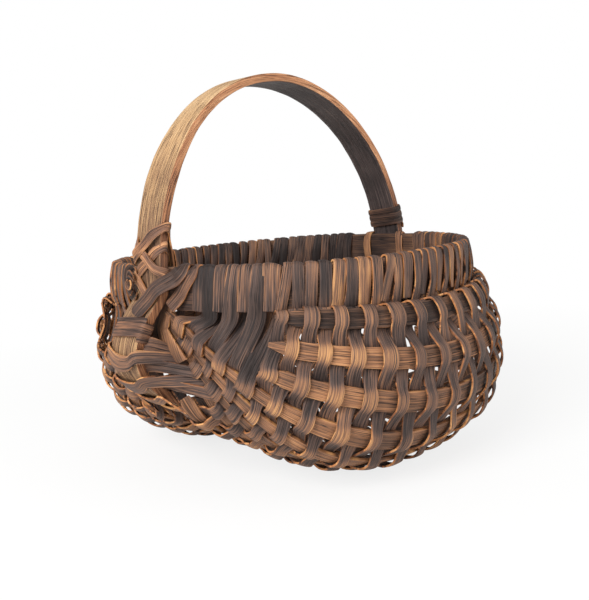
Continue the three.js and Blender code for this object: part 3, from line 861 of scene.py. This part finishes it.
def rim_end(rim, row, side):
    """A weaver's own end lies flat against the rim, under the next turn."""
    return [
        knee(rim, row, side),
        at_rim(rim, row, side * (RIM_FACE + RIM_BELLY), -RIM_EDGE * BELLY_PLACE),
        *over_top(rim, row, side),
        at_rim(rim, row, -side * RIM_FACE, -RIM_EDGE * END_PLACE),
    ]


def weave(first_row, last_row):
    """The stations of one weaver, row after row."""
    stations = []
    for row in range(first_row, last_row + 1):
        forward = row % 2 == 0
        crossed = [s for s in staves if not s.is_rim and s.first_row <= row < ROWS - s.first_row]
        ends = list(rims)
        if not forward:
            crossed.reverse()
            ends.reverse()
        if row == first_row:
            stations += rim_end(ends[0], row, -side_of(crossed[0], row))[::-1]
        for stave in crossed:
            stations += crossing(stave, row, forward)
        turn = rim_turn if row < last_row else rim_end
        stations += turn(ends[1], row, -side_of(crossed[-1], row))
    return stations


for number in range(ROWS // ROWS_PER_WEAVER):
    first_row = number * ROWS_PER_WEAVER
    node = f"weaver_{number + 1:02d}"
    stations = weave(first_row, first_row + ROWS_PER_WEAVER - 1)
    piece = lay_splint(node + "_splint", stations, WEAVER_THICKNESS, weaver_oak, curl=0.25, uneven=0.06)
    finish_piece(piece, node)

# Ear lashings. Riven splints bind the two hoops where they cross, three strips over the
# outside of the handle and more below, and a broad tail comes over the rim and ends there.
LASHING_WIDTH = 6.2
STRAND_WIDTH = 2.8
LASHING_THICKNESS = 1.0
LASHING_BULGE = 0.4
TAIL_WIDTH = 9.5
LAYER = 1.25
SHOULDER_START = 13
SHOULDER_END = 18

# Riven like the weavers, but handled more, so the faces are smoother and warmer
lashing_face = riven_oak("lashing_oak_riven", 0x261C19, 0x584137, 0x95684C, 0xCE9666, polish_and_shade=0.4)
lashing_edge = riven_oak("lashing_oak_split_edge", 0x2E1C12, 0x7A4E30, 0xB07445, 0xD9A46C)
lashing_oak = [lashing_face, lashing_face, lashing_edge]


def hoop_out(height):
    """How far out the handle hoop's middle line lies at a height by the ear."""
    if height >= 0:
        return EAR_HALF_SPAN * math.sqrt(1 - (height / HANDLE_RISE) ** 2)
    lower = spine.line[: FINE // 4]
    return float(np.interp(-height, -lower[:, 2], -lower[:, 0]))


def rim_out(reach):
    """How far out the rim hoop's middle line lies at a reach from the ear."""
    power = SQUARENESS[0]
    return RIM_HALF_SPAN * (1 - (abs(reach) / RIM_REACH) ** power) ** (1 / power)


def ear_spot(ear, where, reach, height, layer):
    """A place on the ear, and the way that a splint lying there faces."""
    lift = LASHING_THICKNESS / 2 + CLEARANCE + layer * LAYER
    if where == "outer":
        shoulder = np.clip((SHOULDER_END - abs(reach)) / (SHOULDER_END - SHOULDER_START), 0, 1)
        face = rim_out(reach) + RIM_THICKNESS / 2
        face += (hoop_out(height) + HANDLE_THICKNESS / 2 - face) * shoulder
        return np.array([ear * (face + lift), reach, height]), (ear, 0, 0)
    if where == "inner":
        face = rim_out(reach) - RIM_THICKNESS / 2
        if height > BAND_WIDTH / 2:
            face = hoop_out(height) - HANDLE_THICKNESS / 2
        return np.array([ear * (face - lift), reach, height]), (-ear, 0, 0)
    if where in ("front", "back"):
        side = -1 if where == "front" else 1
        return np.array([ear * hoop_out(height), side * (BAND_WIDTH / 2 + lift), height]), (0, side, 0)
    side = 1 if where == "top" else -1
    return np.array([ear * rim_out(reach), reach, side * (BAND_WIDTH / 2 + lift)]), (0, 0, side)


def bind(ear, stops, width, wear_and_shade=0.8, aside=0.0, tip=1.0):
    """The stations of a splint that goes from stop to stop round an ear. One strand of a
    doubled splint lies aside of the line, and a cut end has its corners taken off."""
    spots = [ear_spot(ear, *stop) for stop in stops]
    places = np.array([place for place, _ in spots])
    ways = np.gradient(places, axis=0)
    stations = []
    for (place, facing), way in zip(spots, ways):
        half = unit(np.cross(facing, way)) * width / 2
        stations.append((place + half * aside, half, wear_and_shade, np.array(facing) * LASHING_BULGE))
    place, half, *rest = stations[-1]
    stations[-1] = (place, half * tip, *rest)
    return stations


# The stops of each splint: the side of the ear, its reach and height there, and its layer
upper_binding = [
    ("inner", -7, 14, 0), ("inner", -9, 20, 0), ("front", 0, 25, 0), ("outer", -9, 22.5, 0),
    ("outer", 0, 16, 0), ("outer", 9, 9.5, 0), ("back", 0, 7, 0), ("inner", 9, 5, 0),
    ("inner", 9, 22, 0), ("back", 0, 30, 0), ("outer", 9, 25.5, 1), ("outer", 0, 19, 1),
    ("outer", -9, 12.5, 1), ("front", 0, 9, 1), ("inner", -9, 6, 0), ("inner", -9, 27, 1),
    ("front", 0, 36, 1), ("outer", -9, 33, 2), ("outer", 0, 26.5, 2), ("outer", 9, 20, 2),
    ("back", 0, 16, 1), ("inner", 9, 12, 1),
]
lower_binding = [
    ("inner", 15, 4, 0), ("inner", 14, 11, 0), ("top", 15, 0, 0), ("outer", 14, 9.5, 0),
    ("outer", 7, 3, 0.6), ("outer", 1, -3, 0.6), ("outer", -4, -8, 0.6),
]
tail_binding = [
    ("inner", -38, -4, 0), ("inner", -36, 9, 0), ("top", -34.5, 0, 0.2), ("outer", -33, 9, 0.8),
    ("outer", -28, 3, 1), ("outer", -22, -4, 1), ("outer", -16.5, -10.5, 0.6),
]
broad_tail = [
    ("inner", -29, -4, 1), ("inner", -28, 9, 1), ("top", -26.5, 0, 0.6), ("outer", -25, 9.6, 1.6),
    ("outer", -20, 6.2, 2.2), ("outer", -13, 1.2, 2.8), ("outer", -7, -4.8, 3.1), ("outer", -3, -9.5, 3.2),
    ("outer", -1.2, -12, 3.2), ("outer", -0.2, -13.6, 3.1),
]
far_binding = [
    ("inner", -16, -6, 0), ("inner", -16, 8, 0), ("top", -15, 0, 0), ("outer", -13, 10, 0),
    ("outer", 0, 0, 0), ("outer", 13, -10, 0), ("under", 17, 0, 0), ("inner", 16, -6, 0),
    ("inner", 16, 8, 0), ("top", 15, 0, 0), ("outer", 13, 10, 1), ("outer", 0, 0, 1),
    ("outer", -13, -10, 1), ("under", -17, 0, 0), ("inner", -15, -6, 1),
]

# Each strip's width, how worn it is, how far aside of its line and how wide its tip is
left_strips = (
    ("upper_a", upper_binding, STRAND_WIDTH, 1.0, -1.05, 1),
    ("upper_b", upper_binding, STRAND_WIDTH, 0.6, 1.05, 1),
    ("lower", lower_binding, LASHING_WIDTH, 0.7, 0, 1),
    ("under_tail", tail_binding, TAIL_WIDTH - 1, 0.1, 0, 0.9),
    ("tail", broad_tail, TAIL_WIDTH, -0.35, 0, 0.55),
)
for part, stops, *make in left_strips:
    name = f"ear_lashing_left_{part}"
    stations = bind(-1, stops, *make)
    piece = lay_splint(name, stations, LASHING_THICKNESS, lashing_oak, step=0.8, uneven=0.08, curl=0.2)
    finish_piece(piece, "ear_lashing_left")
stations = bind(1, far_binding, LASHING_WIDTH)
piece = lay_splint("ear_lashing_right_splint", stations, LASHING_THICKNESS, lashing_oak, step=0.8)
finish_piece(piece, "ear_lashing_right")

# Knot. The lashing's first end is folded round beside the handle and tucked in, so that its
# turns show as uneven half rings, one inside the next, round a small knob.
KNOT_THICKNESS = 0.9
KNOT_DEPTH_SHARE = 0.3
KNOT_STEPS = 16
KNOT_WANDER, KNOT_WAVE, KNOT_SEED = 0.22, 1.3, 8.6
KNOT_TILT = 0.8
KNOT_WEAR, KNOT_DULLING = 0.1, 0.2

# Each ring's reach, height, radius, first and last angle, width and layer
KNOT_RINGS = (
    (12.5, 3.5, 1.9, 0, 320, 3.6, 3.6), (13.5, 2.5, 4.6, -70, 205, 4.2, 3.0),
    (14.8, 1.8, 7.4, -50, 230, 4.4, 2.3), (16.5, 0.6, 10.4, -42, 190, 4.6, 1.5),
)
for number, (reach, height, radius, first, last, width, layer) in enumerate(KNOT_RINGS):
    ring = []
    for angle in np.radians(np.linspace(first, last, KNOT_STEPS)):
        aside = np.array([0, math.sin(angle), math.cos(angle)])
        spread = radius * (1 + KNOT_WANDER * drift(number + KNOT_SEED, angle, KNOT_WAVE))
        surface, facing = ear_spot(-1, "outer", reach + KNOT_DEPTH_SHARE * spread * aside[1], height, layer)
        place = np.array([surface[0], reach + spread * aside[1], height + spread * aside[2]])
        half = unit(KNOT_TILT * np.array(facing) + aside) * width / 2
        ring.append((place, half, KNOT_WEAR - KNOT_DULLING * number))
    name = f"ear_lashing_left_knot_{number + 1}"
    piece = lay_splint(name, ring, KNOT_THICKNESS, lashing_oak, step=0.6, uneven=0.1)
    finish_piece(piece, "ear_lashing_left")

# Wraps. A narrow splint is wound round the handle above the right ear, and another round
# the spine below the left one. Each has its start, its turns, its width and its pitch. It
# passes a corner of the band a little outside its face, and then a little outside its edge.
HANDLE_WRAP = (6.0, 3, 4.7, 4.6)
SPINE_WRAP = (22, 4, 3.4, 2.8)
WRAP_GAP = 0.2
WRAP_BULGE = 0.6
WRAP_FACE_SHARE = 0.85
WRAP_NEAR = 2.5
FACE_CORNER = (0.9, 1.06)
EDGE_CORNER = (1.02, 0.8)


def wound(line, start, turns, width, pitch):
    """The stations of a splint wound round a band, over its four edges in turn."""
    run = run_of(line)
    side = (BAND_WIDTH + WEAVER_THICKNESS) / 2 + WRAP_GAP
    face = (HANDLE_THICKNESS + WEAVER_THICKNESS) / 2 + WRAP_GAP
    stations = []
    for k in range(4 * turns + 1):
        distance = start + (k // 2 + k % 2 * WRAP_FACE_SHARE) * pitch / 2
        spots = (distance - WRAP_NEAR, distance + WRAP_NEAR)
        ends = [np.array([np.interp(spot, run, axis) for axis in line.T]) for spot in spots]
        along = unit(ends[1] - ends[0])
        out = unit(np.cross(across_band, along))
        point = (ends[0] + ends[1]) / 2
        around = -1 if k % 4 in (0, 3) else 1
        outwards = 1 if k % 4 < 2 else -1
        corners = (FACE_CORNER, EDGE_CORNER) if k % 2 else (EDGE_CORNER, FACE_CORNER)
        for wide, deep in corners:
            aside = across_band / (BAND_WIDTH / 2) * around * side * wide
            place = point + aside + out * outwards * face * deep
            stations.append((place, along * width / 2, 0.0, unit(place - point) * WRAP_BULGE))
    return stations


handle_line = np.array([point for point, *_ in hoop[:HANDLE_STEPS]])
wraps = (("handle_wrap", handle_line, HANDLE_WRAP), ("spine_wrap", spine.line, SPINE_WRAP))
for name, line, winding in wraps:
    piece = lay_splint(name + "_splint", wound(line, *winding), WEAVER_THICKNESS, lashing_oak, step=0.8)
    finish_piece(piece, name)

# Floor, light and camera. A plain pale floor in matt white paint, which takes the basket's
# shadow and has no shine, a white room and two soft lamps, seen from the front left.
# For the camera alone, the floor fades to plain white between 0.3 and 0.6 m away.
FLOOR_SIZE = 6.0
FLOOR_WHITE = 0xF4F4F2
FLOOR_ROUGHNESS = 0.9
WHITE_FROM, WHITE_TO = 0.3, 0.6
WHITE_SHARE = 0.8
bm = bmesh.new()
bmesh.ops.create_grid(bm, x_segments=2, y_segments=2, size=FLOOR_SIZE / 2)
mesh = bpy.data.meshes.new("studio_floor")
bm.to_mesh(mesh)
bm.free()
floor = bpy.data.objects.new("studio_floor", mesh)
bpy.context.scene.collection.objects.link(floor)
paint = bpy.data.materials.new("matt_white_floor")
paint.use_nodes = True
tree = paint.node_tree
shader = tree.nodes["Principled BSDF"]
shader.inputs["Base Color"].default_value = colour(FLOOR_WHITE)
shader.inputs["Roughness"].default_value = FLOOR_ROUGHNESS
path = add(tree, "ShaderNodeLightPath")
glow = add(tree, "ShaderNodeEmission", {"Color": (1, 1, 1, 1), "Strength": 1.0})
place = add(tree, "ShaderNodeTexCoord").outputs["Object"]
away = add(tree, "ShaderNodeVectorMath", {0: place}, operation="LENGTH")
fading = {"From Min": WHITE_FROM, "From Max": WHITE_TO, "To Min": WHITE_SHARE}
fade = add(tree, "ShaderNodeMapRange", {"Value": away.outputs["Value"], **fading})
seen = {0: path.outputs["Is Camera Ray"], 1: fade.outputs[0]}
share = add(tree, "ShaderNodeMath", seen, operation="MULTIPLY")
coats = {"Fac": share.outputs[0], 1: shader.outputs[0], 2: glow.outputs[0]}
mixed = add(tree, "ShaderNodeMixShader", coats)
tree.links.new(mixed.outputs[0], tree.nodes["Material Output"].inputs["Surface"])
mesh.materials.append(paint)

ROOM_LIGHT = 0.57
BACKGROUND = 1.0
world = bpy.data.worlds.new("studio")
bpy.context.scene.world = world
world.use_nodes = True
tree = world.node_tree
path = add(tree, "ShaderNodeLightPath")
levels = {"To Min": ROOM_LIGHT, "To Max": BACKGROUND}
level = add(tree, "ShaderNodeMapRange", {"Value": path.outputs["Is Camera Ray"], **levels})
tree.links.new(level.outputs[0], tree.nodes["Background"].inputs["Strength"])
tree.nodes["Background"].inputs["Color"].default_value = (1, 1, 1, 1)

# Each lamp's place and size in metres, and its power in watts
KEY_LAMP = ((-1.35, -0.25, 0.95), 0.9, 26)
FILL_LAMP = ((0.6, -1.35, 0.5), 1.2, 8)
BASKET_MIDDLE = (0, 0, 0.12)


def soft_lamp(name, place, size, power):
    """A square lamp that faces the basket."""
    lamp = bpy.data.lights.new(name, "AREA")
    lamp.size = size
    lamp.energy = power
    holder = bpy.data.objects.new(name, lamp)
    bpy.context.scene.collection.objects.link(holder)
    holder.location = place
    aim = Vector(BASKET_MIDDLE) - Vector(place)
    holder.rotation_euler = aim.to_track_quat("-Z", "Y").to_euler()


soft_lamp("key_lamp", *KEY_LAMP)
soft_lamp("fill_lamp", *FILL_LAMP)

# The camera's angles in radians, its place in metres, and its focal length and the longer
# side of the picture in pixels
VIEW_AZIMUTH = 0.79587
VIEW_FALL = 0.14037
VIEW_ROLL = -0.07398
VIEW_PLACE = (-0.38328, -0.37764, 0.17523)
FOCAL_PIXELS = 762.68
PICTURE_PIXELS = 600
camera = bpy.data.cameras.new("photo_view")
holder = bpy.data.objects.new("photo_view", camera)
bpy.context.scene.collection.objects.link(holder)
bpy.context.scene.camera = holder
camera.lens = camera.sensor_width * FOCAL_PIXELS / PICTURE_PIXELS
camera.clip_start = 0.01
ahead = Vector((
    math.sin(VIEW_AZIMUTH) * math.cos(VIEW_FALL),
    math.cos(VIEW_AZIMUTH) * math.cos(VIEW_FALL),
    -math.sin(VIEW_FALL),
))
right = Vector((math.cos(VIEW_AZIMUTH), -math.sin(VIEW_AZIMUTH), 0))
above = right.cross(ahead)
rolled_right = math.cos(VIEW_ROLL) * right + math.sin(VIEW_ROLL) * above
rolled_above = math.cos(VIEW_ROLL) * above - math.sin(VIEW_ROLL) * right
turned = Matrix((rolled_right, rolled_above, -ahead)).transposed()
holder.matrix_world = Matrix.Translation(VIEW_PLACE) @ turned.to_4x4()
bpy.context.scene.view_settings.view_transform = "Standard"
